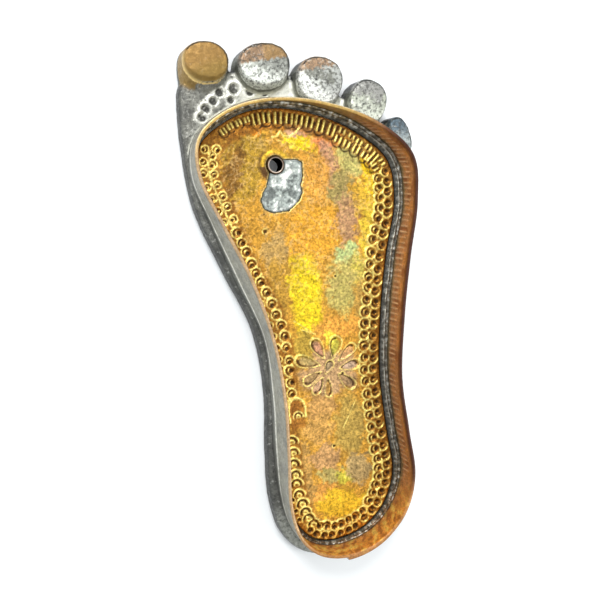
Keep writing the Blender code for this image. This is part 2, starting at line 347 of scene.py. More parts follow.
def ring_mesh(levels):
    """Vertices and faces of a closed band. Each level is an outline with its heights, up the outer side, over
    the top and down the inner side."""
    count = len(levels[0][0])
    rings = [np.column_stack((outline, np.broadcast_to(height, (count,)))) for outline, height in levels]
    vertices = np.vstack(rings)
    i = np.arange(count)
    j = (i + 1) % count
    faces = []
    for k in range(len(rings)):
        low, high = k * count, ((k + 1) % len(rings)) * count
        faces.append(np.column_stack((low + i, low + j, high + j, high + i)))
    return vertices, np.vstack(faces)


def grid_in(inside, low, high, pitch):
    """Plan points and quads of a square grid that fills the region where inside() is above 0, with its border
    points drawn onto the region's edge. Also gives the border's edges, in order of their quads."""
    xs = np.arange(low[0], high[0] + pitch, pitch)
    ys = np.arange(low[1], high[1] + pitch, pitch)
    across, along = np.meshgrid(xs, ys)
    points = np.column_stack((across.ravel(), along.ravel()))
    columns = len(xs)
    k = (np.arange(len(ys) - 1)[:, None] * columns + np.arange(columns - 1)[None]).ravel()
    quads = np.column_stack((k, k + 1, k + 1 + columns, k + columns))
    quads = quads[inside(points[quads].mean(axis=1)) > 0]
    used, quads = np.unique(quads, return_inverse=True)
    quads = quads.reshape(-1, 4)
    points = points[used]
    edges = np.vstack([quads[:, (side, (side + 1) % 4)] for side in range(4)])
    keys = np.sort(edges, axis=1)
    _, first, counts = np.unique(keys, axis=0, return_index=True, return_counts=True)
    border = edges[first[counts == 1]]
    rim = np.unique(border)
    step = pitch / 8
    for _ in range(3):
        value = inside(points[rim])
        slope = np.column_stack([
            (inside(points[rim] + shift) - inside(points[rim] - shift)) / (2 * step)
            for shift in (np.array((step, 0)), np.array((0, step)))
        ])
        size = np.maximum((slope**2).sum(axis=1), 0.25)
        move = -slope * (value / size)[:, None]
        points[rim] += np.clip(move, -pitch, pitch)
    return points, quads, border


def make_plate(name, grid, top, colour, side_tone, side_rows):
    """A plate from a grid with its heights and colours: sides in one tone, and a flat underside."""
    points, quads, border = grid
    vertices, faces = [np.column_stack((points, top))], [quads]
    rim = np.unique(border)
    at = np.full(len(points), -1)
    at[rim] = np.arange(len(rim))
    a, b = at[border.T]
    above, total = rim, len(points)
    for k in range(1, side_rows + 1):
        share = k / side_rows
        height = top[rim] * (1 - share) + FLOOR_OF_WALL * share
        vertices.append(np.column_stack((points[rim], height)))
        below = total + np.arange(len(rim))
        faces.append(np.column_stack((above[b], above[a], below[a], below[b])))
        above = below
        total += len(rim)
    tint = np.vstack((colour, flat(side_tone, total - len(points))))
    plate = add_mesh(name, np.vstack(vertices), np.vstack(faces), tint)
    fill_underside(plate, np.column_stack((above[a], above[b])))
    return plate


def fill_underside(thing, loop_edges):
    """Closes a plate's flat underside between the edges of its border."""
    maker = bmesh.new()
    maker.from_mesh(thing.data)
    maker.verts.ensure_lookup_table()
    edges = [maker.edges.get((maker.verts[int(a)], maker.verts[int(b)])) for a, b in loop_edges]
    filled = bmesh.ops.triangle_fill(maker, edges=[e for e in edges if e], use_dissolve=False)
    for made in filled["geom"]:
        if isinstance(made, bmesh.types.BMFace):
            made.smooth = False
    bmesh.ops.recalc_face_normals(maker, faces=maker.faces)
    maker.to_mesh(thing.data)
    maker.free()


# Materials

class Finish:
    """A node material with a Principled shader, and short names for the nodes that these finishes use. Sizes
    of features are in millimetres."""

    def __init__(self, name):
        self.material = bpy.data.materials.new(name)
        self.material.use_nodes = True
        self.tree = self.material.node_tree
        self.place = self.node("TexCoord", {}, "Object")

    def put(self, node, values):
        """Sets inputs to plain values, or links them to other nodes' outputs."""
        for place, value in values.items():
            if isinstance(value, bpy.types.NodeSocket):
                self.tree.links.new(value, node.inputs[place])
            else:
                node.inputs[place].default_value = value

    def node(self, kind, values, output=0, **settings):
        node = self.tree.nodes.new("ShaderNode" + kind)
        for name, setting in settings.items():
            setattr(node, name, setting)
        self.put(node, values)
        return node.outputs[output]

    def layer(self, name, output="Fac"):
        return self.node("Attribute", {}, output, attribute_name=name)

    def noise(self, size, detail=3, rough=0.6, distortion=0.0):
        values = {"Vector": self.place, "Scale": 1 / (size * MM), "Detail": detail, "Roughness": rough}
        return self.node("TexNoise", values | {"Distortion": distortion}, "Fac")

    def cells(self, size, feature="F1"):
        values = {"Vector": self.place, "Scale": 1 / (size * MM)}
        return self.node("TexVoronoi", values, "Distance", feature=feature)

    def ramp(self, value, low, high, bottom=0.0, top=1.0):
        values = dict(enumerate((value, low, high, bottom, top)))
        return self.node("MapRange", values, interpolation_type="SMOOTHSTEP")

    def times(self, *factors):
        made = factors[0]
        for factor in factors[1:]:
            made = self.node("Math", {0: made, 1: factor}, operation="MULTIPLY")
        return made

    def mix(self, amount, first, second, kind="MIX"):
        """Two colours mixed, each a node's output or a screen colour."""
        values = {0: amount, 6: first, 7: second}
        for place in (6, 7):
            if isinstance(values[place], tuple):
                values[place] = (*srgb(*values[place]), 1)
        return self.node("Mix", values, 2, data_type="RGBA", blend_type=kind)

    def tinted(self, *grains):
        """The mesh's own tint, made darker and lighter by fine grains."""
        return self.mix(1.0, self.layer("tint", "Color"), self.times(*grains), "MULTIPLY")

    def bump(self, height, distance, strength, under=None):
        values = {"Strength": strength, "Distance": distance * MM, "Height": height}
        return self.node("Bump", values | ({"Normal": under} if under else {}), "Normal")

    def finish(self, colour, roughness, normal=None, metallic=0.0, specular=0.5):
        values = {"Base Color": colour, "Roughness": roughness, "Metallic": metallic}
        values["Specular IOR Level"] = specular
        if normal:
            values["Normal"] = normal
        self.put(self.tree.nodes["Principled BSDF"], values)
        return self.material


def dressed(thing, material, slot, *nodes):
    """The piece rides on the part, stands for its solid and takes the given finish. The slot is not used."""
    thing.data.materials.append(material)
    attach(thing, "root")
    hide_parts(*nodes)
    return thing


# Gilt sheet

# Rows of punch marks follow the sheet's edge. Places along it are shares of its length from the heel's back,
# counter-clockwise: the lateral side, the toe, then the medial side. Marks and places are in millimetres.
Row = namedtuple("Row", "inset start end pitch radius ridge pit facing arc eye")
ROWS = (
    Row(3.3, 0.028, 0.385, 5.4, 2.30, 0.55, 0.95, 240, 0.85, 0.9),
    Row(8.0, 0.045, 0.380, 5.5, 2.60, 0.60, 0.95, 170, 0.65, 1.2),
    Row(2.6, 0.585, 0.668, 5.4, 1.70, 0.50, 0.75, 20, 0.30, 1.6),
    Row(7.2, 0.578, 0.668, 5.2, 1.75, 0.50, 0.75, 100, 0.40, 1.6),
    Row(1.8, 0.675, 0.850, 5.3, 1.55, 0.40, 0.85, 20, 0.60, 0.5),
    Row(6.7, 0.669, 0.842, 5.2, 2.30, 0.60, 0.95, 140, 0.70, 1.2),
    Row(1.9, 0.850, 0.955, 5.3, 1.30, 0.35, 0.80, 20, 0.60, 0.0),
    Row(2.6, 0.962, 1.025, 4.6, 1.90, 0.55, 0.85, 60, 0.80, 0.5),
    Row(7.2, 0.972, 1.040, 5.0, 2.25, 0.60, 0.90, 60, 0.60, 0.8),
)

Arcs = namedtuple("Arcs", "inset start end pitch radius ridge")
ARC_ROW = Arcs(5.4, 0.868, 0.972, 5.3, 3.3, 0.70)

Slots = namedtuple("Slots", "inset start end pitch half_length half_gap ridge")
SLOT_ROWS = (
    Slots(4.4, 0.448, 0.535, 5.6, 2.9, 1.30, 0.80),
    Slots(3.2, 0.535, 0.568, 3.6, 1.6, 0.85, 0.60),
    Slots(6.9, 0.385, 0.448, 4.9, 2.1, 1.15, 0.75),
    Slots(2.9, 0.385, 0.448, 4.9, 1.5, 1.10, 0.65),
)

ROSETTE = (
    # root, tip, width, raised outline, colour of its floor; the last row is the oval in the middle
    ((-3.3, -26.2), (-7.6, -16.4), 7.4, 0.45, (206, 150, 118)),
    ((1.4, -27.0), (4.6, -17.0), 8.2, 0.45, (190, 182, 70)),
    ((4.2, -28.8), (13.2, -22.6), 6.4, 0.45, (208, 158, 104)),
    ((4.3, -32.6), (14.4, -32.0), 6.6, 0.45, (186, 158, 132)),
    ((3.2, -35.4), (10.4, -43.4), 7.0, 0.45, (164, 132, 92)),
    ((-2.5, -36.6), (-3.3, -45.4), 5.0, 0.45, (178, 134, 58)),
    ((-5.2, -35.8), (-10.6, -42.6), 6.0, 0.45, (204, 162, 124)),
    ((-6.0, -32.8), (-15.0, -36.8), 6.2, 0.45, (162, 132, 84)),
    ((-6.2, -29.2), (-17.4, -24.4), 7.6, 0.45, (190, 164, 104)),
    ((-3.4, -33.9), (0.4, -28.3), 5.4, 0.40, (156, 136, 100)),
)
ROSETTE_PIT = 0.60
ROSETTE_DOT = (5.1, -35.5)
HOOK, HOOK_HALF = np.array((-20.2, -48.0)), np.array((4.2, 5.2))
MEDIAL_LINE_INSET, MEDIAL_LINE_START, MEDIAL_LINE_END = 5.2, 0.668, 0.590
SQUIGGLE = (
    (-14.4, 80.2), (-11.6, 80.6), (-10.0, 82.6), (-8.6, 80.2), (-5.6, 79.8), (-2.6, 81.2), (-0.4, 83.4),
)
SCRATCHES = (((-15.6, -6.0), (-8.0, -12.4)), ((-13.0, -10.5), (-6.0, -14.0)), ((2.0, -62.0), (10.0, -50.0)))
DENTS = ((-23.6, 37.8, 1.3), (-14.0, 58.0, 0.9), (8.0, 12.0, 0.8), (-4.0, -70.0, 0.9))
# Raised lines: width, height and, for scratches, how bright they are
HOOK_LINE, MEDIAL_LINE = (0.75, 0.55), (0.60, 0.40)
SQUIGGLE_LINE, SCRATCH_LINE = (0.45, 0.30), (0.30, 0.05, 0.6)
DENT_RIDGE, DENT_PIT = 0.15, 0.3

DISH_RADIUS, DISH_DEPTH = 9.2 * MM, 0.55 * MM
SHEET_WARP, SHEET_RIPPLE = 0.16 * MM, 0.05 * MM
LOWEST_MARK, HIGHEST_MARK = -0.9 * MM, 0.8 * MM
TEAR_RAGGED, EDGE_ROUNDING = 0.35 * MM, 0.35 * MM

GOLD = (206, 152, 56)
PATCHES = (
    # across, along, half width, half length, degrees turned, colour, amount
    (-28, 75, 11, 25, 12, (182, 144, 50), 1.00),
    (-36, 62, 5, 18, 20, (130, 90, 36), 0.95),
    (-14, 89, 22, 4.5, -12, (240, 150, 36), 1.00),
    (6, 84, 16, 4, -16, (208, 150, 112), 0.85),
    (-2, 77, 9, 3.5, 20, (244, 208, 36), 1.00),
    (13, 77, 9, 5, -30, (222, 132, 74), 0.95),
    (-3, 84, 6, 3, 10, (214, 170, 132), 0.80),
    (24, 67, 9, 8, -40, (196, 186, 108), 1.00),
    (33, 55, 6.5, 17, 6, (232, 190, 34), 1.00),
    (11, 65, 5, 12, 10, (194, 146, 112), 0.90),
    (4, 58, 8, 13, 0, (222, 160, 66), 0.90),
    (17, 54, 6, 9, 20, (160, 146, 88), 0.90),
    (26, 46, 5, 9, 10, (214, 168, 60), 0.80),
    (0, 34, 14, 12, 0, (230, 166, 54), 1.00),
    (17, 38, 5.5, 12, 8, (182, 138, 98), 1.00),
    (27, 30, 3.5, 16, 0, (228, 192, 60), 0.90),
    (16, 21, 6, 6, 0, (188, 200, 130), 1.00),
    (20, 12, 6, 8, 0, (204, 188, 84), 0.90),
    (11, 6, 8, 14, 8, (188, 172, 94), 1.00),
    (20, -4, 5, 12, 0, (190, 150, 70), 0.80),
    (-8, 6, 9, 20, 4, (234, 202, 36), 1.00),
    (-20, 28, 7, 11, 20, (192, 154, 86), 1.00),
    (-22, 8, 5, 18, 12, (190, 146, 56), 0.90),
    (6, -13, 13, 6, 0, (226, 160, 66), 1.00),
    (1, -16, 4, 3.0, 0, (248, 218, 70), 0.95),
    (-12, -18, 6, 8, 0, (186, 156, 62), 0.85),
    (-2, -34, 16, 12, 0, (182, 148, 110), 0.85),
    (-8, -50, 8, 7, 0, (198, 152, 92), 0.75),
    (-10, -60, 8, 8, 0, (206, 158, 84), 0.90),
    (6, -62, 8, 17, 6, (182, 150, 72), 1.00),
    (-9, -74, 8, 5.5, 0, (194, 150, 98), 0.90),
    (-7, -84, 6, 5, 0, (180, 164, 96), 0.90),
    (-1, -87, 5, 5, 0, (202, 190, 66), 0.90),
    (8, -84, 7, 8, -30, (174, 148, 98), 0.90),
    (-12, -92, 7, 4, 0, (226, 160, 74), 0.95),
    (-3, -100, 14, 7, 8, (232, 184, 46), 1.00),
    (-20, -80, 4, 18, 0, (188, 146, 78), 0.90),
)


def placed_on(outline, share, inset):
    """A point inset from the outline at a share of its length, with the direction towards its inside."""
    place = run(outline)
    at = (share % 1) * place[-1]
    both = np.hstack((outline, normals(outline)))
    both = np.vstack((both, both[:1]))
    x, y, out_x, out_y = (np.interp(at, place, column) for column in both.T)
    inward = -np.array((out_x, out_y)) / math.hypot(out_x, out_y)
    return (x, y) + inward * inset, inward


# Outer arch, inner arch and the gap between them: place and width, in shares of the radius
ARCHES = ((0.95, 0.15), (0.36, 0.20), (0.66, 0.14))


def facing_share(away, facing):
    """1 for offsets that point the way that a mark faces, down to 0 for the opposite way."""
    return 0.5 + 0.5 * np.cos(np.arctan2(away[:, 1], away[:, 0]) - facing)


class Relief:
    """Height of worked metal over its own plan points, and its shade: painted shade down to -1 in the sunk
    places, painted highlight up to 1 on the raised ones. Its lengths are in millimetres."""

    def __init__(self, points):
        self.points = points / MM
        self.height = np.zeros(len(points))
        self.shade = np.zeros(len(points))
        self.row = np.argsort(self.points[:, 1])
        self.sorted_y = self.points[self.row, 1]

    def near(self, centre, reach):
        """The points within reach of a place, as indices and offsets from it."""
        first, last = np.searchsorted(self.sorted_y, (centre[1] - reach, centre[1] + reach))
        index = self.row[first:last]
        index = index[np.abs(self.points[index, 0] - centre[0]) < reach]
        return index, self.points[index] - centre

    def add(self, index, height, shade):
        # Shade below 0 is painted shade, above 0 painted highlight
        self.height[index] += height
        self.shade[index] += shade

    def ring(self, centre, radius, ridge, pit, facing, arc, eye=0.0):
        """A punched pit in a ring that is highest towards one side, with a crescent left standing in it."""
        index, away = self.near(centre, radius * 2.0)
        r = np.linalg.norm(away, axis=1) / radius
        wall = bell(r - 1, 0.25) * (1 - arc * (1 - facing_share(away, facing)) ** 0.8)
        floor = np.exp(-((r / 0.78) ** 4))
        from_dot = away + 0.30 * radius * np.array((math.cos(facing), math.sin(facing)))
        far = np.linalg.norm(from_dot, axis=1) / (0.50 * radius)
        crescent = eye * bell(far - 1, 0.42) * facing_share(from_dot, facing) ** 1.5
        height = ridge * wall - pit * floor + 0.8 * pit * crescent
        self.add(index, height, 1.1 * wall - 1.4 * floor + 1.9 * crescent)

    def slot(self, centre, inward, half_length, half_gap, ridge):
        """A long U stamp: two raised bars with a sunk slot between them and a sunk line round them."""
        index, away = self.near(centre, half_length * 1.9)
        along = away @ inward
        across = np.abs(away @ np.array((-inward[1], inward[0])))
        ends = smooth(half_length * 1.15, half_length * 0.8, np.abs(along))
        bars = bell(across - half_gap, 0.72) * ends
        middle = bell(across, 0.50 * half_gap) * ends
        beyond = np.hypot(across, np.maximum(along - half_length * 0.75, 0)) - half_gap - 1.15
        line = bell(beyond, 0.50) * smooth(half_length * 1.2, half_length * 0.9, -along)
        self.add(index, ridge * (bars - 0.7 * middle - 0.45 * line), 1.5 * bars - 1.9 * middle - 0.75 * line)

    def arch(self, centre, radius, ridge):
        """Two nested arches, open towards the heel."""
        index, away = self.near(centre, radius * 1.8)
        r = np.linalg.norm(away, axis=1) / radius
        front = smooth(-0.45, 0.05, away[:, 1] / radius)
        outer, inner, gap = (bell(r - at, width) * front for at, width in ARCHES)
        self.add(index, ridge * (outer + inner - 0.7 * gap), 1.2 * outer + 1.3 * inner - 1.6 * gap)

    def petal(self, root, tip, width, ridge, pit):
        """A teardrop pressed in, with a raised outline. Gives its points and how deep inside it each is."""
        root, tip = np.array(root), np.array(tip)
        length = np.linalg.norm(tip - root)
        outward = (tip - root) / length
        index, away = self.near((root + tip) / 2, length)
        along = away @ outward / (length / 2)
        across = away @ np.array((-outward[1], outward[0])) / (width / 2)
        narrow = 0.66 + 0.34 * np.clip(along, -1, 1)
        r = np.hypot(along, across / narrow)
        outline = bell(r - 1.04, 0.13)
        groove = bell(r - 0.80, 0.13) * (0.6 + 0.4 * np.sign(across))
        inside = smooth(0.95, 0.55, r)
        self.add(index, ridge * outline - pit * groove - 0.4 * pit * inside, 0.65 * outline - 0.80 * groove)
        return index, inside

    def line(self, corners, width, ridge, shade=0.9):
        """A raised line through a few corners."""
        for start, end in zip(corners, corners[1:]):
            start, end = np.array(start), np.array(end)
            reach = np.linalg.norm(end - start)
            index, away = self.near((start + end) / 2, reach)
            along = np.clip(away @ (end - start) / reach**2, -0.5, 0.5)
            bump = bell(np.linalg.norm(away - np.outer(along, end - start), axis=1), width)
            index, bump = index[bump > 0.3], bump[bump > 0.3]
            self.height[index] = np.maximum(self.height[index], ridge * bump)
            # A painted highlight along the raised line
            self.shade[index] = shade * bump


def punched_border(relief, outline):
    length = steps(outline).sum()
    wobble = np.random.default_rng(11)

    def places(row):
        count = int((row.end - row.start) * length / row.pitch)
        for i in range(count):
            share = row.start + (row.end - row.start) * (i + 0.5 * wobble.uniform(0.8, 1.2)) / count
            yield placed_on(outline, share, row.inset + wobble.normal(0, 0.22))

    for row in ROWS:
        for centre, _ in places(row):
            facing = math.radians(row.facing + wobble.normal(0, 30))
            size = row.radius * wobble.uniform(0.90, 1.10)
            ridge = row.ridge * wobble.uniform(0.8, 1.1)
            relief.ring(centre, size, ridge, row.pit, facing, row.arc, row.eye)
    for centre, _ in places(ARC_ROW):
        relief.arch(centre, ARC_ROW.radius * wobble.uniform(0.9, 1.1), ARC_ROW.ridge)
    for row in SLOT_ROWS:
        for centre, inward in places(row):
            relief.slot(centre, inward, row.half_length * wobble.uniform(0.85, 1.1), row.half_gap, row.ridge)


def rosette(relief):
    """Pressed petals round an oval. Gives each floor's points, how deep inside they are, and its colour."""
    tints = []
    for root, tip, width, ridge, tone in ROSETTE:
        tints.append((*relief.petal(root, tip, width, ridge, ROSETTE_PIT), tone))
    relief.ring(np.array(ROSETTE_DOT), 1.0, 0.4, 0.4, 0, 0.2)
    return tints


def heel_hook(relief):
    """The arch of raised line where the medial row starts again under the rosette. Gives its floor's tint."""
    index, away = relief.near(HOOK, 10)
    across, along = (away / HOOK_HALF).T
    inside = smooth(1.0, 0.7, np.hypot(across, np.maximum(along, 0))) * smooth(-2.2, -1.6, along)
    relief.height[index] *= 1 - inside
    relief.shade[index] *= 1 - inside
    legs = [HOOK + HOOK_HALF * (math.cos(a), math.sin(a)) for a in np.linspace(-0.3, math.pi, 12)]
    relief.line([legs[0] - (0, 3)] + legs + [legs[-1] - (0, 6)], *HOOK_LINE)
    relief.arch(HOOK + (0.2, -4.0), 2.6, 0.4)
    return index, inside, (186, 122, 46)


def worked_sheet(points, outline):
    """All marks on the gilt sheet, with the tints of the floors that have their own."""
    relief = Relief(points)
    outline = outline / MM
    punched_border(relief, outline)
    tints = rosette(relief) + [heel_hook(relief)]
    medial = np.linspace(MEDIAL_LINE_START, MEDIAL_LINE_END, 20)
    relief.line([placed_on(outline, share, MEDIAL_LINE_INSET)[0] for share in medial], *MEDIAL_LINE)
    relief.line(SQUIGGLE, *SQUIGGLE_LINE)
    for scratch in SCRATCHES:
        relief.line(scratch, *SCRATCH_LINE)
    for across, along, radius in DENTS:
        relief.ring(np.array((across, along)), radius, DENT_RIDGE, DENT_PIT, 2.4, 0.6)
    return relief, tints


def turned(away, degrees):
    """Offsets across and along, turned clockwise by an angle."""
    x, y = away.T
    a = math.radians(degrees)
    return x * math.cos(a) + y * math.sin(a), y * math.cos(a) - x * math.sin(a)


def gold_colour(points, relief, edge, tints):
    """The sheet's tarnish colours: listed patches with ragged edges, painted shade in the sunk marks and
    painted highlight on the ridges.
    """
    colour = flat(GOLD, len(points))
    ragged, other = rough_field(points, 8, 3.1), rough_field(points, 8, 13.1)
    fine, finest = rough_field(points, 1.9, 8.4), rough_field(points, 1.2, 21.4, 2)
    shifted = points / MM + 3.6 * np.column_stack((ragged, other)) + 2.4 * np.column_stack((fine, finest))
    for across, along, half_width, half_length, degrees, tone, amount in PATCHES:
        x, y = turned(shifted - (across, along), -degrees)
        paint(colour, (tone, amount * smooth(1.16, 0.72, np.hypot(x / half_width, y / half_length))))
    veins = bell(ragged + 0.25 * fine, 0.07) + 0.7 * bell(other - 0.2 + 0.25 * fine, 0.06)
    fore = smooth(-10 * MM, 20 * MM, points[:, 1])
    border = smooth(11 * MM, 9 * MM, edge + 1.2 * MM * ragged)
    paint(colour, ((236, 196, 128), 0.40 * fore * np.clip(veins, 0, 1)), ((178, 122, 42), 0.75 * border))
    for index, inside, tone in tints:
        colour[index] = paint(colour[index], (tone, 0.85 * inside))
    shade = np.clip(relief.shade * (1 + 0.5 * finest) + 0.35 * fine * border, -1, 1)
    paint(colour, ((118, 70, 20), 0.70 * border * smooth(0.25, 0.0, np.abs(shade))))
    colour *= 1 + 0.35 * (fine * (1 - border) + 0.6 * finest)[:, None]
    # Painted shade in the sunk marks and painted highlight on the ridges, from the relief's shade
    paint(
        colour,
        ((52, 30, 8), 0.94 * smooth(0.05, 0.75, -shade)),
        ((255, 234, 132), 0.92 * smooth(0.15, 0.75, shade)),
    )
    return np.clip(colour, 0, 1)


def gold_finish():
    made = Finish("gilt_tarnish")
    speckle = made.ramp(made.noise(1.3, 4, 0.7), 0.40, 0.60, 0.66, 1.16)
    freckle = made.ramp(made.cells(2.1), 0.08, 0.30, 0.55, 1.0)
    cloud = made.ramp(made.noise(6, 4), 0.35, 0.65, 0.90, 1.12)
    roughness = made.ramp(made.noise(1.6), 0.3, 0.7, 0.28, 0.50)
    normal = made.bump(made.noise(1.3, 4, 0.7), 0.30, 0.7)
    normal = made.bump(made.noise(6, 2, 0.5), 0.6, 0.5, normal)
    return made.finish(made.tinted(speckle, freckle, cloud), roughness, normal, 0.75)


def make_gilt_sheet():
    """The punched sheet inside the wall, torn open beside the knob's hole."""
    outline = footbed_outline()
    tear = bed_outline(SEAT_GAP)

    def from_edge(points):
        return signed_distance(points, outline[::3])

    def inside(points):
        ragged = TEAR_RAGGED * noise_at(*(points.T * 700), 4.0)
        torn = ragged - signed_distance(points, tear)
        return np.min((from_edge(points), outside_ferrule(points), torn), axis=0)

    grid = grid_in(inside, outline.min(axis=0), outline.max(axis=0), SHEET_GRID)
    points = grid[0]
    relief, tints = worked_sheet(points, outline)
    edge, open_edge = from_edge(points), inside(points)
    away = points - KNOB_PLACE
    from_knob = np.linalg.norm(away, axis=1)
    worked = relief.height * MM * smooth(0.1 * MM, 1.0 * MM, edge)
    dish = DISH_DEPTH * smooth(DISH_RADIUS, DISH_RADIUS * 0.55, from_knob)
    waves = SHEET_WARP * rough_field(points, 16, 5.7, 2) + SHEET_RIPPLE * rough_field(points, 2.2, 6.7)
    rounded = EDGE_ROUNDING * smooth(0.6 * MM, 0, open_edge) ** 2
    top = FOOTBED_TOP + np.clip(worked + waves - dish, LOWEST_MARK, HIGHEST_MARK) - rounded
    wander = rough_field(points, 4, 2.2)
    heelward = smooth(-0.3, 0.3, away @ (-0.85, -0.50) / np.maximum(from_knob, MM))
    # Dark brown on the dish's heel side: rust, with painted shade
    rust_and_shade = smooth(DISH_RADIUS * 1.05, DISH_RADIUS * 0.80, from_knob + 0.7 * MM * wander) * heelward
    # Painted highlight along the dish's rim on the toe side
    raised = bell(from_knob - 6.2 * MM + 0.4 * MM * wander, 1.0 * MM) * (away[:, 1] > 0)
    lip = smooth(0.75 * MM, 0.15 * MM, open_edge) * smooth(1 * MM, 2 * MM, edge)
    colour = paint(
        gold_colour(points, relief, edge, tints),
        ((92, 62, 38), 0.92 * rust_and_shade),
        ((255, 206, 64), 0.9 * raised * smooth(-0.5, 0.3, away[:, 1] / from_knob)),
        ((238, 214, 140), 0.9 * lip),
    )
    sheet = make_plate("gilt_sheet", grid, top, colour, (110, 80, 40), 3)
    return dressed(sheet, gold_finish(), "gilt_sheet", "footbed")


# Rim strip

RIB_PITCH, RIB_HEIGHT, RIM_DENT = 2.7 * MM, 0.22 * MM, 0.10 * MM
OUTER_ROWS, LIP_ROWS, INNER_ROWS = 14, 5, 16


def lap_amount():
    """How far the strip's free end steps out over its other end, round the wall's foot."""
    place = run(WALL_FOOT)[:-1]
    place = np.where(place > WALL_LENGTH / 2, place - WALL_LENGTH, place)
    share = (place - LAP_START) / LAP_LENGTH
    return np.where((share >= 0) & (share <= 1), LAP_STEP * (1 - share), 0)


def ribs(share_up, around):
    """Short hammered ribs across the strip, strongest on the lateral side and faint elsewhere."""
    phase = around * WALL_LENGTH / RIB_PITCH + 0.5 * noise_at(around * 40, 1.0, 0.5)
    wave = 0.5 + 0.5 * np.cos(2 * math.pi * phase)
    strong = 0.25 + 0.75 * band(0.07, 0.12, 0.40, 0.47, around)
    return RIB_HEIGHT * wave**3 * strong * band(0.15, 0.3, 0.62, 0.78, share_up)


def rim_finish():
    """Streaks and a fine grain over the strip's own colours."""
    made = Finish("rim_patina")
    streak = made.ramp(made.noise(3.0, 5, 0.7, 0.6), 0.35, 0.65, 0.80, 1.10)
    grain = made.ramp(made.noise(0.9, 3, 0.7), 0.38, 0.60, 0.78, 1.08)
    roughness = made.ramp(made.noise(2), 0.3, 0.7, 0.30, 0.50)
    normal = made.bump(made.noise(0.9, 4, 0.7), 0.14, 0.6)
    return made.finish(made.tinted(streak, grain), roughness, normal, 0.45)


def rim_colour(rise, side, around):
    """Bands up the inner face: olive by the solder, ribbed copper, dark brown at the top. A point's rise and
    its place around are shares, and its side goes from 0 outside to 1 inside."""
    lateral = band(0.06, 0.11, 0.40, 0.45, around)
    toe = band(0.42, 0.47, 0.58, 0.62, around)
    heel = smooth(0.10, 0.05, np.minimum(around, 1 - around))
    medial = band(0.56, 0.60, 0.93, 0.97, around)
    blotch = noise_at(around * 90, rise * 3.0, 4.0 + side)
    streak = noise_at(around * 150 + rise * 2, rise * 4.0, 7.0, octaves=3)
    comb = ribs(rise, around) / RIB_HEIGHT
    outside = side < 0.25
    lip = (side > 0.25) & (side < 0.9)
    outer_lip = lip & (side < 0.4)
    colour = paint(
        flat((212, 154, 104), len(rise)),
        ((180, 116, 70), 0.9 * smooth(0.0, 0.35, blotch)),
        ((226, 156, 84), 0.7 * smooth(0.05, 0.4, -blotch) * lateral),
        ((96, 54, 30), 0.85 * smooth(0.84, 0.97, rise) * lateral),
        ((146, 132, 96), smooth(0.34, 0.16, rise + 0.12 * blotch) * (0.9 - 0.5 * heel)),
        ((255, 214, 166), 0.95 * smooth(0.25, 0.65, comb) * (0.7 + 0.8 * blotch)),
        ((196, 168, 92), 0.9 * toe),
        ((170, 108, 52), 0.65 * toe * smooth(0.0, 0.22, streak)),
        ((240, 168, 76), 0.95 * heel * smooth(0.05, 0.25, rise)),
        ((255, 220, 116), 0.85 * heel * smooth(0.08, 0.36, streak)),
        ((170, 104, 56), 0.8 * heel * smooth(0.08, 0.36, -streak)),
        ((150, 147, 132), 1.0 * outside),
        ((122, 121, 112), 0.6 * outside * smooth(0.0, 0.4, blotch)),
        ((150, 104, 66), 0.8 * outside * smooth(0.62, 0.85, rise) * (1 - medial)),
        # Painted highlight on the foot of the outer face by the toes
        ((236, 230, 208), 0.95 * outside * smooth(0.12, 0.05, rise) * toe),
        # On the medial outer face: painted darker low down, with a painted highlight line above
        ((104, 105, 99), 0.85 * outside * smooth(0.26, 0.19, rise) * medial),
        ((255, 253, 238), outside * bell(rise - 0.262, 0.04) * (0.95 + 0.6 * streak) * medial),
        ((70, 34, 20), 0.95 * lip * lateral),
        ((176, 122, 70), 0.9 * lip * heel),
        ((196, 164, 122), 0.9 * lip * medial * (1 - lateral)),
        ((240, 222, 180), 0.9 * outer_lip * toe),
        ((198, 164, 92), 0.85 * (lip & ~outer_lip) * toe),
    )
    return np.clip(colour, 0, 1)


def make_rim_strip():
    """The strip's faces from its outer foot over its lip to its inner foot, dented, lapped and ribbed."""
    edge = wall_top_height(WALL_TOP)
    shoulder = edge - WALL_LIP
    lap = lap_amount()
    dent = RIM_DENT * noise_at(ROUND * 14, 2.0, 0.0)
    rows = []
    for k in range(OUTER_ROWS + 1):
        share = (k / OUTER_ROWS) ** 1.3
        height = FLOOR_OF_WALL + (shoulder - FLOOR_OF_WALL) * share
        over = smooth(edge - LAP_DROP - 0.3 * MM, edge - LAP_DROP + 0.6 * MM, height)
        rows.append((-lap * over - dent * share, height, share, 0))
    for k in range(1, LIP_ROWS):
        across = k / LIP_ROWS
        inset = WALL_THICKNESS / 2 * (1 - math.cos(math.pi * across)) - (lap + dent) * (1 - across)
        rows.append((inset, shoulder + WALL_LIP * math.sin(math.pi * across), 1, 0.3 + 0.4 * across))
    for k in range(INNER_ROWS + 1):
        share = 1 - k / INNER_ROWS
        height = FLOOR_OF_WALL + (shoulder - FLOOR_OF_WALL) * share
        rows.append((WALL_THICKNESS + ribs(share, ROUND) - dent * share, height, share, 1))
    vertices, faces = ring_mesh([(wall_face(inset, height), height) for inset, height, _, _ in rows])
    rise, side = (np.repeat([row[place] for row in rows], AROUND) for place in (2, 3))
    colour = rim_colour(rise, side, np.tile(ROUND, len(rows)))
    return dressed(add_mesh("rim_strip", vertices, faces, colour), rim_finish(), "rim_brass", "rim_wall")


# Solder seam

SEAM_SECTION = (
    # share of the way from the wall to the sheet, share of the crest's height
    (0.00, 1.00), (0.06, 1.00), (0.14, 0.88), (0.24, 0.78), (0.34, 0.74), (0.42, 0.80), (0.48, 0.96),
    (0.54, 1.00), (0.60, 0.80), (0.68, 0.42), (0.78, 0.20), (0.88, 0.10), (0.96, 0.04), (1.00, 0.00),
)


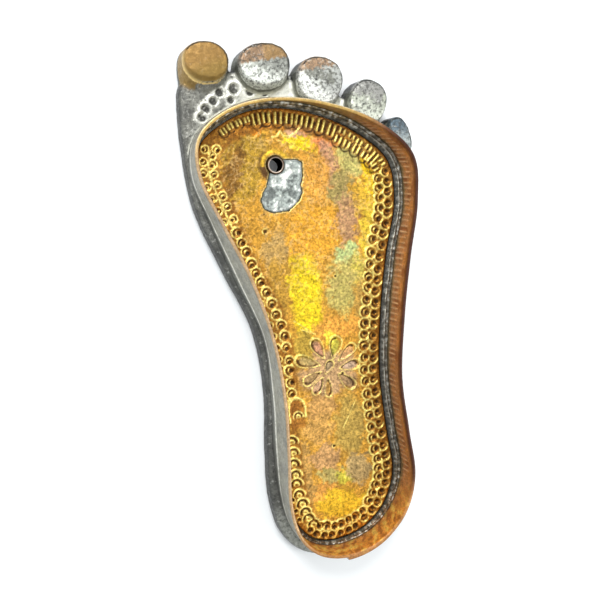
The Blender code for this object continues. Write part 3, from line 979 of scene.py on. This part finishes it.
def make_seam():
    """The run of solder between sheet and wall: a thin uneven crest beside a groove at the sheet's edge."""
    against_wall = WALL_THICKNESS + SEAT_GAP
    outer_top = wall_face(against_wall, FOOTBED_TOP + SEAM_RISE)
    inner = footbed_outline(-SEAT_GAP)
    wander, lumps, crumbs = (noise_at(ROUND * often, z, 3.0) for often, z in ((45, 1), (130, 5), (380, 8)))
    levels = [(wall_face(against_wall, FLOOR_OF_WALL), FLOOR_OF_WALL)]
    for across, high in SEAM_SECTION:
        middle = 4 * across * (1 - across)
        share = across + (0.12 * wander + 0.06 * crumbs) * middle
        height = FOOTBED_TOP + SEAM_RISE * high + (0.20 * lumps + 0.26 * crumbs) * MM * middle
        levels.append((outer_top + (inner - outer_top) * share[:, None], height))
    levels.append((inner, FLOOR_OF_WALL))
    vertices, faces = ring_mesh(levels)
    across = np.repeat([0] + [row[0] for row in SEAM_SECTION] + [1], AROUND)
    around, broken = np.tile(ROUND, len(levels)), np.tile(0.65 + 0.9 * lumps, len(levels))
    blotch = rough_field(vertices[:, :2], 2.0, 6.0)
    lateral = band(0.08, 0.14, 0.38, 0.44, around)
    ridge = bell(across - 0.52, 0.07) * np.clip(broken, 0.1, 1) * lateral
    heel = smooth(0.11, 0.05, np.minimum(around, 1 - around))
    toe = band(0.42, 0.47, 0.58, 0.66, around)
    colour = paint(
        flat((118, 115, 102), len(vertices)),
        ((140, 126, 96), 0.8 * smooth(0.35, 0.0, across)),
        ((120, 92, 62), 0.7 * heel),
        ((150, 136, 104), 0.8 * toe),
        ((128, 108, 66), 0.75 * toe * smooth(0.6, 0.3, across)),
        ((70, 70, 62), 0.85 * smooth(0.0, 0.25, blotch)),
        ((196, 198, 190), 0.85 * smooth(0.08, 0.36, -blotch)),
        # Painted shade in the groove by the sheet's edge
        ((52, 50, 42), 0.9 * smooth(0.66, 0.84, across)),
        ((74, 74, 72), 0.45 * lateral),
        # Painted highlight along the crest, broken, on the lateral side
        ((208, 210, 198), 0.9 * ridge * (1 - 0.6 * heel)),
    )
    seam = add_mesh("solder_bead", vertices, faces, colour)
    made = Finish("seam_grey")
    grain = made.ramp(made.noise(1.6, 4, 0.7), 0.38, 0.60, 0.72, 1.15)
    normal = made.bump(made.noise(1.1, 4, 0.7), 0.30, 0.8)
    return dressed(seam, made.finish(made.tinted(grain), 0.40, normal, 0.7), "seam_solder", "solder_seam")


# Bare solder and the knob's ferrule

def make_bare_solder():
    """The crackled bed beside the knob's hole, laid open where the sheet is torn."""
    outline = bed_outline()

    def inside(points):
        return np.minimum(signed_distance(points, outline), outside_ferrule(points))

    grid = grid_in(inside, outline.min(axis=0), outline.max(axis=0), SOLDER_GRID)
    points = grid[0]
    crackle = rough_field(points, 3.2, 6.6, 4)
    top = FOOTBED_TOP - SOLDER_BED_SINK + 0.28 * MM * crackle
    colour = paint(
        flat((170, 178, 172), len(points)),
        ((112, 118, 114), smooth(0.05, 0.45, -crackle)),
        ((246, 248, 240), smooth(0.10, 0.45, crackle)),
        # Painted shadow along the bed's edges, under the torn sheet
        ((96, 106, 104), 0.7 * smooth(1.2 * MM, 0.2 * MM, inside(points))),
    )
    bed = make_plate("bare_solder", grid, top, colour, (90, 94, 96), 2)
    made = Finish("solder_crackle")
    veins = made.ramp(made.cells(3.4, "DISTANCE_TO_EDGE"), 0.02, 0.10, 0.72, 1.0)
    grain = made.ramp(made.noise(1.2), 0.38, 0.60, 0.82, 1.12)
    normal = made.bump(made.noise(1.0, 4, 0.75), 0.4, 0.9)
    material = made.finish(made.tinted(veins, grain), 0.38, normal, 0.6)
    return dressed(bed, material, "bare_solder", "knob_solder")


FERRULE_SIDES, FERRULE_WEAR = 72, 0.12 * MM


def make_ferrule():
    """The thin tube in the knob's hole, painted black inside as shade, with a worn ring on its end."""
    a = np.linspace(0, 2 * math.pi, FERRULE_SIDES, endpoint=False)
    circle = np.column_stack((np.cos(a), np.sin(a)))
    outer, inner = SOCKET_RADIUS, SOCKET_BORE / 2
    low, high = SOCKET_RECESS, FOOTBED_TOP + SOCKET_STAND
    turn, collar = 0.25 * MM, high - 1.2 * MM
    profile = (
        (outer, low), (outer, collar), (outer, high - turn), (outer - 0.3 * turn, high - 0.3 * turn),
        (outer - turn, high), (inner + turn, high), (inner + 0.3 * turn, high - 0.3 * turn),
        (inner, high - turn), (inner, collar), (inner, (low + high) / 2), (inner, low),
    )
    wear = FERRULE_WEAR * noise_at(*(circle.T * 1.4), 9.0)
    levels = []
    for radius, height in profile:
        levels.append((KNOB_PLACE + circle * radius, height + wear * (height > high - 1 * MM)))
    vertices, faces = ring_mesh(levels)
    away = vertices[:, :2] - KNOB_PLACE
    from_middle = np.linalg.norm(away, axis=1)
    on_ring = np.abs(from_middle - inner - 0.6 * turn) < 0.12 * MM
    to_lower_left = smooth(-0.6, 0.4, away @ (-0.6, -0.8) / from_middle)
    bright = on_ring * (0.35 + 0.65 * to_lower_left)
    # The bore is painted near black as shade
    in_bore = from_middle < inner + 0.05 * turn
    colour = paint(
        flat((74, 54, 34), len(vertices)),
        ((216, 200, 184), bright),
        ((10, 9, 8), 1.0 * in_bore),
    )
    ferrule = add_mesh("knob_ferrule", vertices, faces, colour, bare=bright)
    made = Finish("ferrule_metal")
    grain = made.ramp(made.noise(1.2), 0.38, 0.60, 0.75, 1.1)
    normal = made.bump(made.noise(0.7), 0.1, 0.6)
    bare = made.ramp(made.layer("bare"), 0.0, 1.0, 0.0, 0.6)
    material = made.finish(made.tinted(grain), 0.45, normal, bare, specular=0.0)
    return dressed(ferrule, material, "socket_metal", "knob_socket")


# Cast base

VOXEL = 0.9 * MM
CAST_WAVES, CAST_GRAIN = 0.22 * MM, 0.10 * MM
FINER_FROM = 45 * MM
PUNCHES = (
    # across, along, degrees that the open side is turned by, radius, with lengths in millimetres
    (-42.9, 95.8, 35, 2.7), (-45.0, 92.4, 40, 2.6), (-38.9, 99.1, 30, 2.4), (-35.6, 102.6, 20, 2.3),
    (-28.6, 103.8, 0, 3.0), (-30.8, 98.9, 15, 2.0), (-21.2, 102.0, 10, 2.6), (-14.4, 100.4, -10, 2.1),
)
PUNCH_RIDGE, PUNCH_PIT, PUNCH_OPENING, PUNCH_EYE = 0.60, 1.1, 0.45, 0.4


def toe_frame(toe, points):
    """Plan points seen from a toe button's middle, in its own half sizes."""
    centre = np.array((toe.across * BALL_WIDTH, toe.along * FOOT_LENGTH)) - MIDDLE
    x, y = turned(points - centre, toe.turn_degrees)
    return x / (toe.half_width * BALL_WIDTH), y / (toe.half_length * BALL_WIDTH)


def finer_top(thing):
    """Splits the faces that show on top of the base, in front of the rim and beside it."""
    maker = bmesh.new()
    maker.from_mesh(thing.data)
    middles = np.array([face.calc_center_median()[:] for face in maker.faces])
    chosen = (middles[:, 2] > 0.5 * BASE_TOP) & (middles[:, 1] > FINER_FROM)
    chosen &= outside_wall(middles[:, :2]) > -1 * MM
    faces = [face for face, keep in zip(maker.faces, chosen) if keep]
    edges = {edge for face in faces for edge in face.edges}
    bmesh.ops.subdivide_edges(maker, edges=list(edges), cuts=1, use_grid_fill=True, smooth=0.0)
    maker.to_mesh(thing.data)
    maker.free()


def front_edges(points, normals_up, facing):
    """How near each point on top of a toe button is to its front or lateral edge, from 0 to 1."""
    high = points[:, 2] > BASE_TOP + 1 * MM
    edge = np.flatnonzero(high & (normals_up < 0.6) & (facing > 0.25))
    tree = kdtree.KDTree(len(edge))
    for i in edge:
        tree.insert(points[i], int(i))
    tree.balance()
    reach = np.full(len(points), 9 * MM)
    for i in np.flatnonzero(high & (normals_up >= 0.6)):
        reach[i] = tree.find(points[i])[2]
    return smooth(1.05 * MM, 0.65 * MM, reach)


def toe_top(name, x, y, height, fine, near, pitted):
    """Colours on a toe button, seen in its own frame, with their amounts, painted highlights among them. Also
    sets how pitted its top is.
    """
    r = np.hypot(x, y)
    on_top = smooth(1.06, 0.98, r) * (height > BASE_TOP + 0.5 * TOE_RISE)
    # A painted highlight along the lower-left rim of the top
    edge = bell(r - 0.96, 0.09) * on_top * smooth(0.25, -0.35, y + 0.35 * x)
    pitted[on_top > 0.5] = 1.2
    if name == "big":
        body = smooth(1.06, 1.01, r) * (height > BASE_TOP + 0.7 * TOE_RISE)
        low_edge = smooth(-1.75, -1.45, y - 0.8 * (x + 1) + 0.2 * fine)
        worn_flank = (x < -0.1) * (y < 0.6) * low_edge * (height > 0.5 * BASE_TOP) * near
        pitted[(body > 0.5) | (worn_flank > 0.5)] = 0.12
        return (
            ((150, 116, 62), body),
            ((140, 114, 56), 0.8 * body * smooth(0.3, -0.5, y - 0.5 * x)),
            ((150, 120, 60), 0.9 * worn_flank * (1 - body)),
            ((255, 222, 146), 0.95 * edge),
        )
    if name == "second":
        bronze = on_top * smooth(0.20, 0.30, y - 0.12 * x + 0.10 * fine)
        pitted[(bronze > 0.5) & (x > 0.0)] = 0.4
        return (
            ((150, 152, 144), on_top),
            # Painted highlight: the top lighter towards the lower left
            ((226, 230, 220), on_top * smooth(0.05, -0.35, y + 0.5 * x + 0.25 * fine)),
            ((140, 114, 88), bronze),
            ((150, 120, 78), bronze * smooth(-0.05, 0.05, x + 0.1 * fine)),
            ((244, 246, 236), 0.8 * edge),
        )
    if name == "third":
        return (
            ((184, 186, 180), on_top),
            ((120, 121, 110), 0.85 * on_top * smooth(0.25, 0.1, np.abs(y - 0.25 + 0.3 * fine)) * (x < 0.5)),
            # Painted highlight: the top lighter towards the lower left
            ((240, 242, 234), on_top * smooth(0.0, -0.3, y + 0.45 * x + 0.2 * fine)),
            ((160, 128, 96), 0.95 * on_top * smooth(0.52, 0.62, y - 0.45 * x + 0.15 * fine)),
            ((236, 238, 230), 0.7 * edge),
        )
    if name == "fourth":
        return (
            ((184, 188, 172), on_top),
            ((150, 148, 146), 0.8 * on_top * smooth(0.0, 0.4, y + 0.3 * fine) * (x < 0.5)),
            # Painted highlight: the top lighter towards the lower side
            ((220, 224, 208), 0.9 * on_top * smooth(0.1, -0.4, y + 0.3 * fine)),
        )
    return (
        ((172, 180, 178), on_top),
        ((96, 112, 122), on_top * smooth(-0.2, 0.6, y + 0.2 * fine)),
    )


def base_colour(points, up):
    """Silver casting with bronze wear on the first three toes, painted highlight on the toe tops, between the
    toes and along the wall's foot, and painted shade on the low sides and on the toes' front flanks and edges.
    Gives the tint and how strongly each point is pitted."""
    plan, height = points[:, :2], points[:, 2]
    across, along = plan.T
    blotch, fine = rough_field(plan, 7, 1.3), rough_field(plan, 1.4, 4.4)
    facing = up[:, 1] + 0.6 * up[:, 0]
    front = smooth(-0.25, 0.25, facing)
    side = smooth(0.8, 0.35, up[:, 2])
    on_slab = (height < BASE_TOP + 2 * MM) & (height > 0.6 * BASE_TOP)
    # Painted highlight on the slab between the toes
    between = smooth(-34 * MM, -22 * MM, across) * smooth(84 * MM, 92 * MM, along + 0.35 * across) * on_slab
    # Painted highlight along the wall's foot
    foot_highlight = smooth(0.9 * MM, 0.5 * MM, outside_wall(plan)) * smooth(74 * MM, 80 * MM, along) * on_slab
    colour = paint(
        flat((124, 124, 116), len(points)),
        ((98, 98, 94), 0.7 * smooth(0.0, 0.5, blotch)),
        ((158, 158, 150), 0.7 * smooth(0.0, 0.5, -blotch)),
        ((70, 71, 68), 0.55 * smooth(60 * MM, 30 * MM, along) * smooth(-104 * MM, -92 * MM, along)),
        ((172, 174, 164), 0.6 * smooth(-92 * MM, -104 * MM, along)),
        ((236, 236, 224), 0.9 * between),
        # Painted shade on the low side faces
        ((58, 58, 56), 0.85 * side * (height < BASE_TOP + 0.5 * MM)),
        ((226, 226, 210), 0.85 * foot_highlight * (0.8 + 0.5 * blotch)),
    )
    pitted = np.full(len(points), 0.8)
    pitted[between > 0.5] = 0.35
    pitted[side > 0.5] = 0.45
    pitted[foot_highlight > 0.5] = 0.1
    for toe in TOES:
        x, y = toe_frame(toe, plan)
        near = smooth(1.45, 1.15, np.hypot(x, y)) * (height > 0.4 * BASE_TOP)
        flank = near * side
        # Painted shade on the toes' front and lateral flanks
        paint(colour, ((38, 39, 41), flank * front), ((126, 128, 116), 0.85 * flank * (1 - front)))
        paint(colour, *toe_top(toe.name, x, y, height, fine, near, pitted))
    # Painted shade along the front and lateral edges of the toe tops
    paint(colour, ((24, 24, 23), 0.95 * front_edges(points, up[:, 2], facing)))
    return np.clip(colour, 0, 1), pitted


def base_finish():
    """Silver with dark pits and specks and bright glints, as strong as each point is pitted."""
    made = Finish("cast_silver")
    pitted = made.layer("pitted")
    pits = made.ramp(made.noise(1.5, 5, 0.75), 0.40, 0.54, 1.0, 0.0)
    specks = made.ramp(made.cells(2.8), 0.10, 0.24, 1.0, 0.0)
    glints = made.ramp(made.noise(2.0, 4, 0.7), 0.56, 0.70, 0.0, 1.0)
    colour = made.layer("tint", "Color")
    colour = made.mix(made.times(pits, pitted, 0.62), colour, (70, 70, 66))
    colour = made.mix(made.times(specks, pitted, 0.62), colour, (34, 34, 34))
    colour = made.mix(made.times(glints, pitted, 0.40), colour, (240, 240, 232))
    roughness = made.ramp(pits, 0, 1, 0.38, 0.55)
    normal = made.bump(made.noise(1.3, 5, 0.75), 0.30, 0.8)
    return made.finish(colour, roughness, normal, 0.6)


def evened_casting():
    """The part's own base with even faces and softened edges, and finer faces where its top shows."""
    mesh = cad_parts["sole"].data.copy()
    mesh.name = "cast_base"
    mesh.materials.clear()
    base = bpy.data.objects.new("cast_base", mesh)
    bpy.context.scene.collection.objects.link(base)
    remesh = base.modifiers.new("even", "REMESH")
    remesh.mode = "VOXEL"
    remesh.voxel_size = VOXEL
    soften = base.modifiers.new("soften", "SMOOTH")
    soften.factor = 0.5
    soften.iterations = 2
    made = bpy.data.meshes.new_from_object(base.evaluated_get(bpy.context.evaluated_depsgraph_get()))
    base.modifiers.clear()
    base.data = made
    made.name = "cast_base"
    finer_top(base)
    return base


def triples(items, what):
    numbers = np.zeros(len(items) * 3, np.float32)
    items.foreach_get(what, numbers)
    return numbers.reshape(-1, 3)


def make_cast_base():
    """The base as cast: the part's solid with softened edges, uneven faces, pits and punch marks."""
    base = evened_casting()
    mesh = base.data
    points, up = triples(mesh.vertices, "co").astype(float), triples(mesh.vertex_normals, "vector")
    plan = points[:, :2]
    from_wall = outside_wall(plan)
    shows = smooth(0.0, 2.0 * MM, from_wall) * smooth(0.5 * MM, 2 * MM, points[:, 2])
    cast = CAST_WAVES * rough_field(plan, 6, 2.7) + CAST_GRAIN * rough_field(plan, 1.8, 3.9, 2)
    points += up * (cast * shows)[:, None]
    marks = Relief(plan)
    for x, y, degrees, radius in PUNCHES:
        facing = math.radians(degrees + 90)
        marks.ring(np.array((x, y)), radius, PUNCH_RIDGE, PUNCH_PIT, facing, PUNCH_OPENING, PUNCH_EYE)
    flat_top = smooth(0.6, 0.9, up[:, 2]) * smooth(0, 1 * MM, from_wall)
    flat_top *= points[:, 2] < BASE_TOP + 1.5 * MM
    points[:, 2] = np.maximum(points[:, 2] + marks.height * MM * flat_top, 0)
    mesh.vertices.foreach_set("co", points.ravel())
    colour, pitted = base_colour(points, up)
    reach = [np.linalg.norm(marks.points - (x, y), axis=1) - radius for x, y, _, radius in PUNCHES]
    wash = smooth(1.8, 0.4, np.min(reach, axis=0) + 0.9 * rough_field(plan, 2.5, 7.9)) * flat_top
    # Painted shade in the punched pits and painted highlight on their rims, from the marks' shade
    shade = np.clip(marks.shade * (1 + 0.6 * rough_field(plan, 1.6, 9.3)), -1, 1) * flat_top
    paint(
        colour,
        ((238, 238, 226), 0.85 * wash),
        ((36, 34, 30), 0.92 * smooth(0.15, 0.7, -shade)),
        ((246, 246, 236), 0.92 * smooth(0.15, 0.6, shade)),
    )
    add_layers(mesh, colour, pitted=pitted)
    mesh.shade_smooth()
    mesh.update()
    return dressed(base, base_finish(), "base_metal", "sole")


# Stage, light and camera

FLOOR_HALF = 4.0
HORIZON_LIGHT, ZENITH_LIGHT = 0.45, 1.0
SOFT_LIGHTS = (
    # name, place, width, power, all facing the middle of the part
    ("key", (-0.15, 0.65, 0.75), 0.45, 7.0),
    ("fill", (0.7, -0.3, 0.6), 0.6, 3.0),
)
CAMERA_PLACE = Vector((-0.11606, 0.04501, 0.35434))
CAMERA_TARGET = Vector((-0.01079, 0.00327, 0.0075))
CAMERA_UP = Vector((0.1392, 0.9903, 0.0))
CAMERA_LENS = 45.95


def make_floor():
    corners = [(x * FLOOR_HALF, y * FLOOR_HALF, 0) for x, y in ((-1, -1), (1, -1), (1, 1), (-1, 1))]
    floor = add_mesh("floor", corners, [(0, 1, 2, 3)])
    made = Finish("floor_white")
    colour = made.mix(made.noise(200, 2), (249, 251, 252), (246, 249, 250))
    floor.data.materials.append(made.finish(colour, 0.7))
    floor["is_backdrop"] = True


def soft_light(name, place, width, power):
    light = bpy.data.lights.new(name, "AREA")
    light.shape = "DISK"
    light.size = width
    light.energy = power
    thing = bpy.data.objects.new(name, light)
    thing.location = place
    thing.rotation_mode = "QUATERNION"
    thing.rotation_quaternion = (-Vector(place)).to_track_quat("-Z", "Y")
    bpy.context.scene.collection.objects.link(thing)


def make_light():
    """A studio tent that is brightest overhead, with a key light from the toes and a weak fill."""
    world = bpy.data.worlds.new("studio")
    world.use_nodes = True
    tree = world.node_tree
    background = tree.nodes["Background"]
    background.inputs["Color"].default_value = (0.97, 0.99, 1.0, 1)
    place = tree.nodes.new("ShaderNodeTexCoord")
    parts = tree.nodes.new("ShaderNodeSeparateXYZ")
    rise = tree.nodes.new("ShaderNodeMapRange")
    tree.links.new(place.outputs["Generated"], parts.inputs[0])
    tree.links.new(parts.outputs["Z"], rise.inputs[0])
    for index, number in enumerate((0.05, 0.95, HORIZON_LIGHT, ZENITH_LIGHT), 1):
        rise.inputs[index].default_value = number
    tree.links.new(rise.outputs[0], background.inputs["Strength"])
    bpy.context.scene.world = world
    for light in SOFT_LIGHTS:
        soft_light(*light)
    bpy.context.scene.view_settings.view_transform = "Standard"


def make_camera():
    forward = (CAMERA_TARGET - CAMERA_PLACE).normalized()
    right = forward.cross(CAMERA_UP).normalized()
    up = right.cross(forward)
    lens = bpy.data.cameras.new("camera")
    lens.lens = CAMERA_LENS
    lens.sensor_width = 36
    lens.clip_start, lens.clip_end = 0.01, 10
    camera = bpy.data.objects.new("camera", lens)
    turn = Matrix((right, up, -forward)).transposed()
    camera.matrix_world = Matrix.Translation(CAMERA_PLACE) @ turn.to_4x4()
    bpy.context.scene.collection.objects.link(camera)
    bpy.context.scene.camera = camera


make_camera()
make_light()
make_floor()
make_cast_base()
make_rim_strip()
make_gilt_sheet()
make_seam()
make_bare_solder()
make_ferrule()


bounds = {"cad": CAD_BOX, "visual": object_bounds()}
{name: [list(corner) for corner in box] for name, box in bounds.items()}
